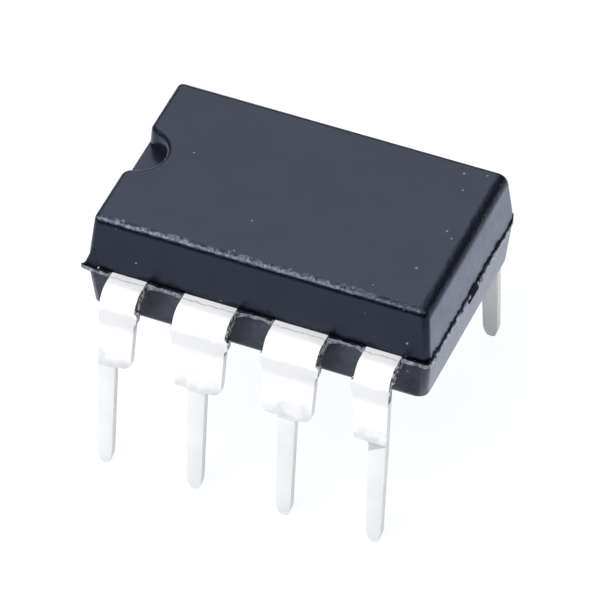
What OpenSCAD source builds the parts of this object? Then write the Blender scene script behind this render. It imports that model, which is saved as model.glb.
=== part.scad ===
// Plastic dual in-line package with eight leads, notched at its pin 1 end.
// +Z is up and X runs along the body, with the notch at -X. Leads 1 to 4 are on
// the -Y side, from -X to +X, and leads 5 to 8 return along the +Y side. The
// origin is below the middle of the body, at the height of the lead tips.

/* [Body moulding] */
// Body beyond the centre line of each end lead, at the parting line
end_over = 0.99; // [0.9:0.01:1.2]
// Height of the upper half, from the parting line to the top
upper_h = 1.59; // [1.4:0.01:1.9]
// Height of the lower half, from the parting line to the underside
lower_h = 1.59; // [1.3:0.01:1.9]
// Draft of the two long sides
side_draft = 7; // [4:0.5:10]
// Draft of the two ends
end_draft = 5; // [3:0.5:8]
// Radius along the edges of the top and the underside
edge_r = 0.18; // [0.08:0.01:0.25]
// Radius of the four upright corners at the parting line
corner_r = 0.14; // [0.08:0.01:0.25]
// Flash that stands out of the long sides at the parting line
flash_side = 0.11; // [0.04:0.01:0.15]
// Flash that stands out of the ends at the parting line
flash_end = 0.05; // [0.02:0.01:0.12]
// Thickness of the flash
flash_t = 0.1; // [0.05:0.01:0.15]

/* [Notch and ejector marks] */
// Radius of the pin 1 notch in the top
notch_r = 0.8; // [0.5:0.01:1.1]
// Depth of the notch below the top
notch_depth = 0.63; // [0.3:0.01:0.9]
// Radius of the two corners where the notch meets the end
notch_mouth_r = 0.18; // [0.05:0.01:0.25]
// Diameter of the two ejector marks in the underside
mark_d = 1.5; // [1:0.1:2]
// Depth of the ejector marks
mark_depth = 0.06; // [0.03:0.01:0.15]
// Distance between the centres of the ejector marks
mark_spacing = 5; // [3.5:0.1:5.5]

/* [Leads] */
// Pitch of the leads along a row
lead_pitch = 2.54; // [2.4:0.01:2.7]
// Distance between the two rows at the bends, centre to centre
row_spacing = 7.62; // [7:0.01:10.2]
// Distance from a long side of the body, at the parting line, to the middle of its row
lead_reach = 0.745; // [0.65:0.005:1]
// Angle by which each row leans outwards
lead_splay = 3.5; // [0:0.5:8]
// Thickness of the lead strip
lead_t = 0.25; // [0.2:0.01:0.3]
// Inside radius of the bend
bend_r = 0.25; // [0.15:0.01:0.3]
// Width of a full shoulder
shoulder_w = 1.52; // [1.3:0.01:1.65]
// Narrowing of each wide side down to the end of the shoulder
shoulder_taper = 0.07; // [0:0.01:0.12]
// Radius of the shoulder's lower corners
shoulder_r = 0.18; // [0.08:0.01:0.25]
// Radius in the corner between shoulder and pin
pin_root_r = 0.06; // [0.02:0.01:0.1]
// Width of the pin where it leaves the shoulder
pin_w = 0.5; // [0.44:0.01:0.56]
// Width of the pin where its tip begins
pin_end_w = 0.43; // [0.36:0.01:0.44]
// Width of the end of the tip
pin_tip_w = 0.24; // [0.15:0.01:0.3]
// Length of the tapered tip
pin_tip_len = 0.3; // [0.15:0.01:0.5]
// Height of the seating plane above the lead tips
pin_len = 3.43; // [3:0.01:3.8]
// Height of the underside above the seating plane
standoff = 0.79; // [0.4:0.01:1]

/* [Leadframe inside the body] */
// Length inside the body over which a lead keeps its full width
root_len = 0.8; // [0.7:0.01:0.95]
// Diameter of the hole that locks a lead in the moulding
lock_hole_d = 0.45; // [0.3:0.01:0.5]
// Depth of that hole's centre inside the body
lock_hole_in = 0.45; // [0.4:0.01:0.5]
// Width of a middle lead's inner finger
finger_w = 0.7; // [0.5:0.01:0.9]
// Width of a corner lead's inner finger at its end
corner_finger_w = 0.55; // [0.4:0.01:0.6]
// Clear gap between the fingers' ends and the die pad
finger_gap = 0.3; // [0.2:0.01:0.35]
// Length of the die pad
pad_l = 3; // [2.6:0.01:3.2]
// Width of the die pad
pad_w = 2.1; // [2:0.01:2.3]
// Depth of the die pad below the leads
pad_downset = 0.2; // [0.1:0.01:0.25]
// Width of the two tie bars that run from the die pad to the ends
tie_w = 0.65; // [0.4:0.01:0.7]
// Length of each tie bar that lies level with the die pad
tie_level = 0.1; // [0.05:0.01:0.3]

/* [Die and bond wires] */
// Length of the die
die_l = 1.7; // [1.3:0.01:2.2]
// Width of the die
die_w = 1.5; // [1.2:0.01:1.7]
// Thickness of the die
die_t = 0.28; // [0.2:0.01:0.4]
// Thickness of the adhesive under the die
attach_t = 0.03; // [0.02:0.01:0.06]
// Adhesive that shows round the die
attach_over = 0.06; // [0.02:0.01:0.12]
// Diameter of the bond wires
wire_d = 0.03; // [0.02:0.005:0.04]
// Height of a wire's loop above the die
loop_h = 0.22; // [0.15:0.01:0.35]
// Diameter of the bonds at both ends of a wire
bond_d = 0.09; // [0.07:0.01:0.12]
// Distance of the bonds from the edge of the die and from a finger's end
bond_in = 0.12; // [0.08:0.01:0.18]

/* [Hidden] */
LEADS_PER_ROW = 4;
// How far the halves reach into the flash, so that the three make one solid
FUSE = flash_t / 2;
HULL_FN = 32;
// Height of the top ring of a faceted ball, as a share of its radius
BALL_TOP = cos(180 / HULL_FN);
ARC_STEPS = 6;
WIRE_SIDES = 6;
WIRE_STEPS = 10;

body_l = (LEADS_PER_ROW - 1) * lead_pitch + 2 * end_over;
body_w = row_spacing - 2 * lead_reach;
seat_z = pin_len;
under_z = seat_z + standoff;
part_z = under_z + lower_h;
top_z = part_z + upper_h;
// The leadframe lies in the lower half, with its top at the parting line
frame_z = part_z - lead_t;
top_end_x = body_l / 2 - upper_h * tan(end_draft);

// Bend of a lead: outside radius, and radius and centre of its middle line
bend_out_r = bend_r + lead_t;
bend_mid_r = bend_r + lead_t / 2;
bend_v = row_spacing / 2 - bend_mid_r * cos(lead_splay);
bend_z = part_z - lead_t - bend_r;
// Distances down the straight blade, from the end of the bend
seat_t = (bend_z + bend_mid_r * sin(lead_splay) - seat_z) / cos(lead_splay);
tip_t = (bend_z + bend_r * sin(lead_splay)) / cos(lead_splay);
taper_t = seat_t / 5;

root_v = body_w / 2 - root_len;
finger_v = pad_w / 2 + finger_gap;
corner_finger_v = tie_w / 2 + finger_gap;
corner_end_x = pad_l / 2 + finger_gap;
neck_len = (shoulder_w - finger_w) / 2;

pad_top_z = part_z - pad_downset;
tie_flat_x = pad_l / 2 + tie_level;
tie_bend_x = tie_flat_x + 1.5 * pad_downset;
tie_end_x = body_l / 2 + flash_end;
die_z = pad_top_z + attach_t;
die_top_z = die_z + die_t;
bond_h = 0.6 * wire_d;

// Points of an arc about [x, y], from angle a0 to a1
function arc(x, y, r, a0, a1) =
    [for (i = [0 : ARC_STEPS]) let (a = a0 + (a1 - a0) * i / ARC_STEPS) [x + r * cos(a), y + r * sin(a)]];

function reversed(list) = [for (i = [len(list) - 1 : -1 : 0]) list[i]];

// The far row holds leads 5 to 8, from +X to -X. The near row is the same row
// turned half round, so lead n and lead n + 4 share one place in their rows.
function place(lead_no) = (lead_no - 1) % LEADS_PER_ROW;
function lead_x(lead_no) = ((LEADS_PER_ROW - 1) / 2 - place(lead_no)) * lead_pitch;
function is_first(lead_no) = place(lead_no) == 0;
function is_last(lead_no) = place(lead_no) == LEADS_PER_ROW - 1;
function is_corner(lead_no) = is_first(lead_no) || is_last(lead_no);
// Direction from a corner lead to the middle of its row
function inward(lead_no) = is_first(lead_no) ? -1 : 1;
module in_row(lead_no) {
    rotate([0, 0, lead_no > LEADS_PER_ROW ? 0 : 180]) children();
}

// Body

// Half of the moulding above the plane z = 0, with drafted sides and round edges
module half_block(h) {
    ball_z = h - edge_r * BALL_TOP;
    ball_x = body_l / 2 - ball_z * tan(end_draft) - edge_r / cos(end_draft);
    ball_y = body_w / 2 - ball_z * tan(side_draft) - edge_r / cos(side_draft);
    hull() {
        for (x = [-1, 1], y = [-1, 1]) {
            translate([x * ball_x, y * ball_y, ball_z]) sphere(r = edge_r, $fn = HULL_FN);
            translate([x * (body_l / 2 - corner_r), y * (body_w / 2 - corner_r), -FUSE])
                cylinder(r = corner_r, h = FUSE, $fn = HULL_FN);
        }
    }
}

module flash() {
    translate([0, 0, part_z - flash_t / 2])
        cube([body_l + 2 * flash_end, body_w + 2 * flash_side, flash_t], center = true);
}

// Outline of the notch, open towards -x: its round end and its two mouth corners
function notch_outline() =
    let (
        m = notch_mouth_r,
        reach = sqrt((notch_r + m) * (notch_r + m) - m * m),
        a = asin(m / (notch_r + m)),
        side = concat(
            [for (i = [0 : 2 * ARC_STEPS]) let (b = (90 - a) * i / (2 * ARC_STEPS)) [notch_r * cos(b), notch_r * sin(b)]],
            arc(m, reach, m, 270 - a, 180)
        )
    )
    concat(
        reversed([for (p = side) [p[0], -p[1]]]),
        [for (i = [1 : len(side) - 1]) side[i]],
        [[-2 * notch_r, reach], [-2 * notch_r, -reach]]
    );

module notch() {
    translate([-top_end_x, 0, top_z - notch_depth])
        linear_extrude(2 * notch_depth) polygon(notch_outline());
}

module ejector_marks() {
    for (x = [-1, 1])
        translate([x * mark_spacing / 2, 0, under_z - mark_depth])
            cylinder(d = mark_d, h = 2 * mark_depth, $fn = 48);
}

module moulded_body() {
    color([0.26, 0.27, 0.31])
        difference() {
            union() {
                translate([0, 0, part_z]) half_block(upper_h);
                flash();
                translate([0, 0, part_z - flash_t]) rotate([180, 0, 0]) half_block(lower_h - flash_t);
            }
            notch();
            ejector_marks();
            for (n = [1 : 2 * LEADS_PER_ROW]) {
                lead_blank(n);
                bond_wire(n);
            }
            die_pad();
            die_attach();
            die();
        }
}

// Leads

// One side of the lead's front view below the bend, as [distance down, half width]
function blade_side(wide) =
    let (edge = shoulder_w / 2 - shoulder_taper)
    concat(
        wide ? concat(
            [[0, shoulder_w / 2], [taper_t, shoulder_w / 2]],
            arc(seat_t - shoulder_r, edge - shoulder_r, shoulder_r, 90, 0),
            arc(seat_t + pin_root_r, pin_w / 2 + pin_root_r, pin_root_r, 180, 270)
        ) : [[0, pin_w / 2], [seat_t, pin_w / 2]],
        [[tip_t - pin_tip_len, pin_end_w / 2], [tip_t, pin_tip_w / 2]]
    );

// Outline in plan as far as end_v, as [x, distance from the middle plane] points
function plan_outline(lead_no, end_v) =
    is_corner(lead_no)
    ? let (
        s = inward(lead_no),
        end_u = (LEADS_PER_ROW - 1) / 2 * lead_pitch - corner_end_x
    ) [
        [-s * pin_w / 2, end_v],
        [-s * pin_w / 2, root_v],
        [s * end_u, corner_finger_v],
        [s * end_u, corner_finger_v + corner_finger_w],
        [s * shoulder_w / 2, root_v],
        [s * shoulder_w / 2, end_v]
    ]
    : let (side = [
        [shoulder_w / 2, end_v],
        [shoulder_w / 2, root_v],
        [finger_w / 2, root_v - neck_len],
        [finger_w / 2, finger_v]
    ]) concat(side, reversed([for (p = side) [-p[0], p[1]]]));

// Plan of a lead with its locking hole, in its own row
module plan_view(lead_no, end_v) {
    hole_u = is_corner(lead_no) ? inward(lead_no) * (shoulder_w - pin_w) / 4 : 0;
    difference() {
        polygon(plan_outline(lead_no, end_v));
        translate([hole_u, body_w / 2 - lock_hole_in]) circle(d = lock_hole_d, $fn = 32);
    }
}

// Flat part of a lead, from its inner finger to its bend
module lead_blank(lead_no) {
    in_row(lead_no) translate([lead_x(lead_no), 0, frame_z])
        linear_extrude(lead_t) plan_view(lead_no, bend_v);
}

// Side view of the strip, from the middle of the body to the end of the pin. The
// origin is the centre of the bend and x runs outwards.
module side_view() {
    translate([-bend_v, bend_r]) square([bend_v, lead_t]);
    intersection() {
        difference() {
            circle(r = bend_out_r, $fn = 64);
            circle(r = bend_r, $fn = 64);
        }
        polygon(2 * bend_out_r * [[0, 0], [0, 1], [1, 1], [cos(lead_splay), sin(lead_splay)]]);
    }
    rotate(lead_splay) translate([bend_r, -tip_t]) square([lead_t, tip_t]);
}

// Front view of the blade, from halfway up the bend to the end of the pin. The
// origin is where the bend ends, x runs up the blade and y along the row.
module front_view(lead_no) {
    low = blade_side(!is_last(lead_no));
    high = blade_side(!is_first(lead_no));
    polygon(concat(
        [[bend_r / 2, high[0][1]]],
        [for (p = high) [-p[0], p[1]]],
        reversed([for (p = low) [-p[0], -p[1]]]),
        [[bend_r / 2, -low[0][1]]]
    ));
}

// The strip's side view, cut to its plan above the bend's centre and to its
// front view below
module lead(lead_no) {
    color([0.86, 0.87, 0.88])
        in_row(lead_no) translate([lead_x(lead_no), 0, 0])
            intersection() {
                translate([0, bend_v, bend_z]) rotate([90, 0, 90])
                    linear_extrude(2 * body_l, center = true) side_view();
                union() {
                    translate([0, 0, bend_z]) linear_extrude(2 * bend_out_r)
                        plan_view(lead_no, bend_v + 2 * bend_out_r);
                    translate([0, bend_v, bend_z]) rotate([90, 0, 90]) rotate(lead_splay)
                        rotate([90, 0, 90]) translate([0, 0, bend_r / 2])
                            linear_extrude(bend_out_r) front_view(lead_no);
                }
            }
}

// Die pad

// Side view of the die pad and its tie bars, which rise to the leads' height
function pad_profile() =
    let (top = [
        [-tie_end_x, part_z],
        [-tie_bend_x, part_z],
        [-tie_flat_x, pad_top_z],
        [tie_flat_x, pad_top_z],
        [tie_bend_x, part_z],
        [tie_end_x, part_z]
    ]) concat(top, reversed([for (p = top) [p[0], p[1] - lead_t]]));

module die_pad() {
    color([0.8, 0.5, 0.34])
        intersection() {
            rotate([90, 0, 0]) linear_extrude(2 * pad_w, center = true) polygon(pad_profile());
            translate([0, 0, pad_top_z - 2 * lead_t]) linear_extrude(4 * lead_t) {
                square([pad_l, pad_w], center = true);
                square([2 * tie_end_x, tie_w], center = true);
            }
        }
}

// Die

module die_attach() {
    color([0.72, 0.72, 0.7])
        translate([0, 0, pad_top_z + attach_t / 2])
            cube([die_l + 2 * attach_over, die_w + 2 * attach_over, attach_t], center = true);
}

module die() {
    color([0.35, 0.36, 0.42])
        translate([0, 0, die_z + die_t / 2]) cube([die_l, die_w, die_t], center = true);
}

// Bond wires

// Bond on the die and bond on the finger, as [x, y] in the far row
function die_bond(lead_no) =
    is_corner(lead_no)
    ? [-inward(lead_no) * (die_l / 2 - bond_in), die_w / 5]
    : [lead_x(lead_no) * die_l / 2 / lead_pitch, die_w / 2 - bond_in];
function finger_bond(lead_no) =
    is_corner(lead_no)
    ? [-inward(lead_no) * (corner_end_x + bond_in), corner_finger_v + corner_finger_w / 2]
    : [lead_x(lead_no), finger_v + bond_in];

// Point at t from 0 to 1 on a curve with four control points
function curve(p, t) =
    pow(1 - t, 3) * p[0] + 3 * t * pow(1 - t, 2) * p[1] + 3 * t * t * (1 - t) * p[2] + pow(t, 3) * p[3];
function slope(p, t) =
    3 * pow(1 - t, 2) * (p[1] - p[0]) + 6 * t * (1 - t) * (p[2] - p[1]) + 3 * t * t * (p[3] - p[2]);

// Round wire along a curve in an upright plane, as one closed polyhedron
module wire_loop(p) {
    along = [p[3][0] - p[0][0], p[3][1] - p[0][1], 0];
    across = cross([0, 0, 1], along) / norm(along);
    rings = [for (i = [0 : WIRE_STEPS])
        let (t = i / WIRE_STEPS, c = curve(p, t), d = slope(p, t) / norm(slope(p, t)), up = cross(d, across))
        for (k = [0 : WIRE_SIDES - 1])
            let (a = 360 * k / WIRE_SIDES) c + wire_d / 2 * (cos(a) * across + sin(a) * up)];
    last = WIRE_STEPS * WIRE_SIDES;
    polyhedron(rings, concat(
        [[for (k = [0 : WIRE_SIDES - 1]) k]],
        [[for (k = [WIRE_SIDES - 1 : -1 : 0]) last + k]],
        [for (i = [0 : WIRE_STEPS - 1], k = [0 : WIRE_SIDES - 1])
            let (a = i * WIRE_SIDES + k, b = i * WIRE_SIDES + (k + 1) % WIRE_SIDES)
            each [[a, a + WIRE_SIDES, b], [b, a + WIRE_SIDES, b + WIRE_SIDES]]]
    ));
}

module bond_wire(lead_no) {
    a = die_bond(lead_no);
    b = finger_bond(lead_no);
    start = [a[0], a[1], die_top_z + bond_h / 2];
    end = [b[0], b[1], part_z + bond_h / 2];
    color([0.95, 0.76, 0.3])
        in_row(lead_no) {
            translate([a[0], a[1], die_top_z]) cylinder(d = bond_d, h = bond_h, $fn = 12);
            wire_loop([start, start + [0, 0, 4 / 3 * loop_h], [b[0], b[1], die_top_z + loop_h / 2], end]);
            translate([b[0], b[1], part_z]) cylinder(d = bond_d, h = bond_h, $fn = 12);
        }
}

moulded_body();
lead(1);  // lead_1
lead(2);  // lead_2
lead(3);  // lead_3
lead(4);  // lead_4
lead(5);  // lead_5
lead(6);  // lead_6
lead(7);  // lead_7
lead(8);  // lead_8
die_pad();
die_attach();
die();
bond_wire(1);  // bond_wire_1
bond_wire(2);  // bond_wire_2
bond_wire(3);  // bond_wire_3
bond_wire(4);  // bond_wire_4
bond_wire(5);  // bond_wire_5
bond_wire(6);  // bond_wire_6
bond_wire(7);  // bond_wire_7
bond_wire(8);  // bond_wire_8
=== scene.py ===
# %% [markdown]
# # A dual in-line chip with eight leads
#
# The object is a small electronic part, 9.7 mm long: a block of black moulded
# epoxy, with four bent metal leads on each long side. A lead is stamped from
# strip 0.25 mm thick, plated with tin, and bent down so that its narrow pin goes
# through a circuit board. This scene loads the exact CAD model of the part, gives
# its hidden pieces their finishes, and replaces the body and the leads by pieces
# that carry what a mould and a press leave behind: round edges, ragged flash,
# and sheared metal.

import math

import bmesh
import bpy
from mathutils import Matrix, Vector, noise


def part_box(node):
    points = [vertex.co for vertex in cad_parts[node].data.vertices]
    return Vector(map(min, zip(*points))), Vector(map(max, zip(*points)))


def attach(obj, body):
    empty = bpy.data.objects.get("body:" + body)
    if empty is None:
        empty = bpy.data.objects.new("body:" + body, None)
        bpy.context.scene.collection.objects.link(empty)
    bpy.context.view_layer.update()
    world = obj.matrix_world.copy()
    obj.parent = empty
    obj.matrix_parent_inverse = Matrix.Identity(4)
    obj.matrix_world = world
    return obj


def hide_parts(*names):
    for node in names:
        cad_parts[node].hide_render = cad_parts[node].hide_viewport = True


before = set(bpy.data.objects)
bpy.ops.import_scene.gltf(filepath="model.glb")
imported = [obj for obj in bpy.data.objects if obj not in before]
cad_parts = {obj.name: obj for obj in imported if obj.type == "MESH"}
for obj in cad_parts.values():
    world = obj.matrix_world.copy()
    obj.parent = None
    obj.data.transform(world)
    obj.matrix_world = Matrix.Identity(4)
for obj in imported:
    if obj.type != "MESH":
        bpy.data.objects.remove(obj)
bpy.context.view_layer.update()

# %% [markdown]
# ## The camera
#
# The photograph was taken from the chip's right-hand front, 44 degrees above the
# table. Its place comes from a fit: the tips of five leads and the edges of the
# body were measured in the picture, and the camera was moved until the known lead
# pitch of 2.54 mm landed on them. A long lens 200 mm away keeps the edges almost
# parallel, as they are in the photograph. The small roll and shift put the chip
# where it lies in the frame.

# %% Camera
scene = bpy.context.scene
scene.view_settings.view_transform = "Standard"

AZIMUTH, ELEVATION, ROLL = math.radians(22.1), math.radians(43.79), math.radians(0.552)
# In metres: how far away the camera is, and the point it is turned to
DISTANCE = 0.19981
TARGET = Vector((0, 0, 0.0035))
# The fit's focal length and shift, in pixels of a picture 600 wide
FOCAL_PX, SHIFT_X_PX, SHIFT_Y_PX = 7594.2, -0.914, 3.135
PICTURE_PX = 600

to_camera = Vector((
    math.sin(AZIMUTH) * math.cos(ELEVATION),
    -math.cos(AZIMUTH) * math.cos(ELEVATION),
    math.sin(ELEVATION),
))
camera_data = bpy.data.cameras.new("camera")
camera = bpy.data.objects.new("camera", camera_data)
scene.collection.objects.link(camera)
camera.matrix_world = (
    Matrix.Translation(TARGET + DISTANCE * to_camera)
    @ (-to_camera).to_track_quat("-Z", "Y").to_matrix().to_4x4()
    @ Matrix.Rotation(ROLL, 4, "Z")
)
camera_data.sensor_width = 36
camera_data.lens = FOCAL_PX / PICTURE_PX * camera_data.sensor_width
camera_data.shift_x, camera_data.shift_y = SHIFT_X_PX / PICTURE_PX, SHIFT_Y_PX / PICTURE_PX
camera_data.clip_start, camera_data.clip_end = 0.01, 10
scene.camera = camera
print("camera at", [round(1000 * c, 1) for c in camera.matrix_world.translation], "mm")

# %% [markdown]
# ## Working in millimetres
#
# Blender's bevel and boolean tools lose accuracy on parts this small if a metre is
# the unit. So every piece is shaped in millimetres and is brought down to metres
# only when it is finished. The sizes below are read from the CAD model where it
# has them, so the pieces sit exactly where the CAD says.

# %% Sizes, in millimetres
MM = 0.001


def heights_mm(node):
    low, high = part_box(node)
    return low.z / MM, high.z / MM


UNDER_Z, TOP_Z = heights_mm("moulded_body")
# The parting line of the mould lies at the top of the leads
PART_Z = heights_mm("lead_2")[1]
# Distance from lead to lead in a row, and from row to row
PITCH, ROW_SPACING = 2.54, 7.62
# Thickness of the leads' strip
STRIP = 0.25
# Height of the shoulders' lower ends, where the part rests on a circuit board
SEAT_Z = 3.43
# Radius inside the leads' bend, and the height of its centre
BEND_R = 0.25
BEND_Z = PART_Z - STRIP - BEND_R
BODY_L, BODY_W = 9.6, 6.13
SIDE_DRAFT, END_DRAFT = math.radians(7), math.radians(5)
print("parting line at", round(PART_Z, 3), "top", round(TOP_Z, 3), "underside", round(UNDER_Z, 3))

# %% [markdown]
# ## Small helpers for shapes
#
# `in_scene` makes an object of a bmesh. A modifier such as Boolean or Bevel needs
# one to sit on, so `through_modifier` makes a passing one, lets one modifier work
# on it, and gives the result back as a bmesh. `finish_piece` is the end of every
# piece: outward normals, millimetres to metres, smooth shading with sharp creases
# kept, its materials, and hiding the CAD solids that it stands for.

# %% Shape helpers
def in_scene(bm, name):
    mesh = bpy.data.meshes.new(name)
    bm.to_mesh(mesh)
    bm.free()
    made = bpy.data.objects.new(name, mesh)
    scene.collection.objects.link(made)
    return made


def through_modifier(bm, kind, **settings):
    holder = in_scene(bm, "stock")
    modifier = holder.modifiers.new(kind, kind)
    for key, value in settings.items():
        setattr(modifier, key, value)
    shaped = holder.evaluated_get(bpy.context.evaluated_depsgraph_get())
    result = bmesh.new()
    result.from_mesh(shaped.to_mesh())
    bpy.data.objects.remove(holder)
    return result


def cut_away(bm, tool_bm):
    tool = in_scene(tool_bm, "tool")
    result = through_modifier(bm, "BOOLEAN", object=tool, operation="DIFFERENCE", solver="EXACT")
    bpy.data.objects.remove(tool)
    return result


def finish_piece(bm, name, materials, replaced=(), painted_root_shade=35):
    bmesh.ops.remove_doubles(bm, verts=bm.verts, dist=0.0005)
    bmesh.ops.recalc_face_normals(bm, faces=bm.faces)
    bmesh.ops.scale(bm, vec=(MM, MM, MM), verts=bm.verts)
    piece = in_scene(bm, name)
    mesh = piece.data
    for polygon in mesh.polygons:
        polygon.use_smooth = True
    mesh.set_sharp_from_angle(angle=math.radians(painted_root_shade))
    for material in materials:
        mesh.materials.append(material)
    weighted = piece.modifiers.new("even shading", "WEIGHTED_NORMAL")
    weighted.keep_sharp = True
    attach(piece, "root")
    if replaced:
        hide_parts(*replaced)
    print(name, len(mesh.vertices), "points", len(mesh.polygons), "faces")


# %% [markdown]
# ## Small helpers for materials
#
# Colours are written as the hex values one reads from a screen, and `ink` turns
# them into the linear numbers that Cycles works with. `add` places one node, sets
# it up and links it. Its second half, `plug`, is also used to feed the main
# shader. Patterns are drawn in millimetres: object coordinates are in metres, so
# they are multiplied by 1000 first, and a noise scale of 20 then means a grain of
# about 1/20 mm.

# %% Material helpers
def ink(code):
    parts = [int(code[i : i + 2], 16) / 255 for i in (1, 3, 5)]
    return (*[p / 12.92 if p <= 0.04045 else ((p + 0.055) / 1.055) ** 2.4 for p in parts], 1)


def plug(tree, node, values):
    """Set or link a node's inputs. A node as value stands for its first live output."""
    for key, value in values.items():
        if isinstance(value, bpy.types.Node):
            value = next(output for output in value.outputs if output.enabled)
        if isinstance(value, bpy.types.NodeSocket):
            tree.links.new(value, node.inputs[key])
        else:
            node.inputs[key].default_value = value


def add(tree, kind, values=None, stops=(), **settings):
    """Add a node with its settings, its inputs and, on a colour ramp, its two (position, colour) stops."""
    made = tree.nodes.new("ShaderNode" + kind)
    for key, value in settings.items():
        setattr(made, key, value)
    plug(tree, made, values or {})
    for number, (position, colour) in enumerate(stops):
        stop = made.color_ramp.elements[number]
        stop.position, stop.color = position, ink(colour)
    return made


def new_material(name):
    material = bpy.data.materials.new(name)
    material.use_nodes = True
    tree = material.node_tree
    shader = tree.nodes["Principled BSDF"]
    coords = add(tree, "TexCoord")
    in_mm = add(tree, "VectorMath", {0: coords.outputs["Object"], "Scale": 1 / MM}, operation="SCALE")
    return material, tree, shader, in_mm


# %% [markdown]
# ## Moulded epoxy
# Some light and shade is painted into the colour: a pale highlight along the front edge with a dark line
# under it, shade in the corner above the rim, and a pale sheen on the two ends.
#
# The body is epoxy filled with fine silica and black dye. It is pressed into a
# spark-eroded steel mould, which leaves an even, matte grain, so the surface
# shows soft broad reflections and no mirror image. Where the edges are round, the
# grain catches a lamp one point at a time and the edge sparkles. A few filler
# grains show as pale specks, and handling leaves faint darker smudges.
#
# The grain could be modelled, but at a few hundredths of a millimetre a bump
# pattern does the same for far fewer faces. The round edges are found from the
# direction that the surface faces: the top, the ends and the sides face close to
# one axis, and only the rounded strips between them face halfway.

# %% Moulded epoxy: where its edges are
epoxy, tree, shader, in_mm = new_material("silica_filled_epoxy")
facing = add(tree, "SeparateXYZ", {0: add(tree, "TexCoord").outputs["Normal"]})
# 1 on the round edges between top and sides, 0 on the flat faces
rise = add(tree, "MapRange", {0: facing.outputs["Z"], 1: 0.2, 2: 0.45}, interpolation_type="SMOOTHSTEP")
fall = add(tree, "MapRange", {0: facing.outputs["Z"], 1: 0.998, 2: 0.96}, interpolation_type="SMOOTHSTEP")
edge = add(tree, "Math", {0: rise, 1: fall}, operation="MULTIPLY")
# The same for the edge that faces -y, where a pale, grainy highlight is painted, weaker towards +x
place = add(tree, "SeparateXYZ", {0: in_mm})
wander = add(tree, "TexNoise", {"Vector": in_mm, "Scale": 3.5, "Detail": 3.0})
slope = add(tree, "Math", {0: wander, 1: 0.5, 2: facing.outputs["Z"]}, operation="MULTIPLY_ADD")
above = add(tree, "MapRange", {0: slope, 1: 0.86, 2: 1.0})
reach = add(tree, "Math", {0: wander, 1: 0.3, 2: place.outputs["Y"]}, operation="MULTIPLY_ADD")
front = add(tree, "MapRange", {0: reach, 1: -2.54, 2: -2.62})
along = add(tree, "MapRange", {0: place.outputs["X"], 1: 0.5, 2: 4.5, 3: 1.0, 4: 0.3})
painted_highlight_mask = add(tree, "Math", {0: above, 1: front}, operation="MULTIPLY")
painted_highlight_mask = add(tree, "Math", {0: painted_highlight_mask, 1: along}, operation="MULTIPLY")

# %% Moulded epoxy: shade, specks and smudges
# Slow changes of shade, 1.5 mm across, as dye and filler never mix quite evenly
cloud = add(tree, "TexNoise", {"Vector": in_mm, "Scale": 0.7, "Detail": 3.0, "Roughness": 0.6})
shade = add(tree, "ValToRGB", {0: cloud}, stops=((0.35, "#131620"), (0.65, "#191c27")))

# Pale filler grains and dust, up to 0.08 mm across: one cell in twenty holds a speck, and
# towards the plain end, where the chip was held, one in four
cells = add(tree, "TexVoronoi", {"Vector": in_mm, "Scale": 5.0, "Randomness": 1.0})
chance = add(tree, "SeparateColor", {0: cells.outputs["Color"]})
rare = add(tree, "MapRange", {0: place.outputs["X"], 1: 2.0, 2: 3.8, 3: 0.95, 4: 0.75})
picked = add(tree, "Math", {0: chance, 1: rare}, operation="GREATER_THAN")
size = add(tree, "Math", {0: chance.outputs[1], 1: 0.18}, operation="MULTIPLY")
dot = add(tree, "Math", {0: cells.outputs["Distance"], 1: size}, operation="LESS_THAN")
speck = add(tree, "Math", {0: dot, 1: picked}, operation="MULTIPLY")
# Smudges: long soft patches, darker than what is round them
stretched = add(tree, "Mapping", {"Vector": in_mm, "Scale": (1.1, 2.6, 1.1), "Rotation": (0, 0, 0.5)})
smear = add(tree, "TexNoise", {"Vector": stretched, "Scale": 1.0, "Detail": 1.0})
smudge = add(tree, "MapRange", {0: smear, 1: 0.68, 2: 0.78, 3: 0.0, 4: 0.35})
dirty = add(tree, "Mix", {0: smudge, 6: shade, 7: ink("#0e0f15")}, data_type="RGBA")

# %% Moulded epoxy: painted sheen on the ends, and pale patches
# The two ends get a pale painted sheen, a painted reflection of the white table, and the lower half gets pale
# patches
end_on = add(tree, "Math", {0: facing.outputs["X"]}, operation="ABSOLUTE")
on_end = add(tree, "MapRange", {0: end_on, 1: 0.9, 2: 0.98})
patches = add(tree, "TexNoise", {"Vector": in_mm, "Scale": 1.6, "Detail": 3.0, "Roughness": 0.6})
thick = add(tree, "MapRange", {0: patches, 1: 0.3, 2: 0.7, 3: 0.6, 4: 1.0})
painted_end_sheen = add(tree, "Math", {0: on_end, 1: thick}, operation="MULTIPLY")
under = add(tree, "MapRange", {0: place.outputs["Z"], 1: PART_Z - 0.05, 2: PART_Z - 0.1})
thin = add(tree, "MapRange", {0: patches, 1: 0.4, 2: 0.65, 3: 0.08, 4: 0.4})
under_haze = add(tree, "Math", {0: under, 1: thin}, operation="MULTIPLY")
end_sheen_and_haze = add(tree, "Math", {0: painted_end_sheen, 1: under_haze}, operation="MAXIMUM")
# Colour of both: pale blue-grey on the ends, where it is painted reflection, and grey in the patches
film_and_sheen = add(tree, "Mix", {0: on_end, 6: ink("#4d4f5b"), 7: ink("#6c7893")}, data_type="RGBA")
with_sheen = add(tree, "Mix", {0: end_sheen_and_haze, 6: dirty, 7: film_and_sheen}, data_type="RGBA")
colour = add(tree, "Mix", {0: speck, 6: with_sheen, 7: ink("#777b89")}, data_type="RGBA")

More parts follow.
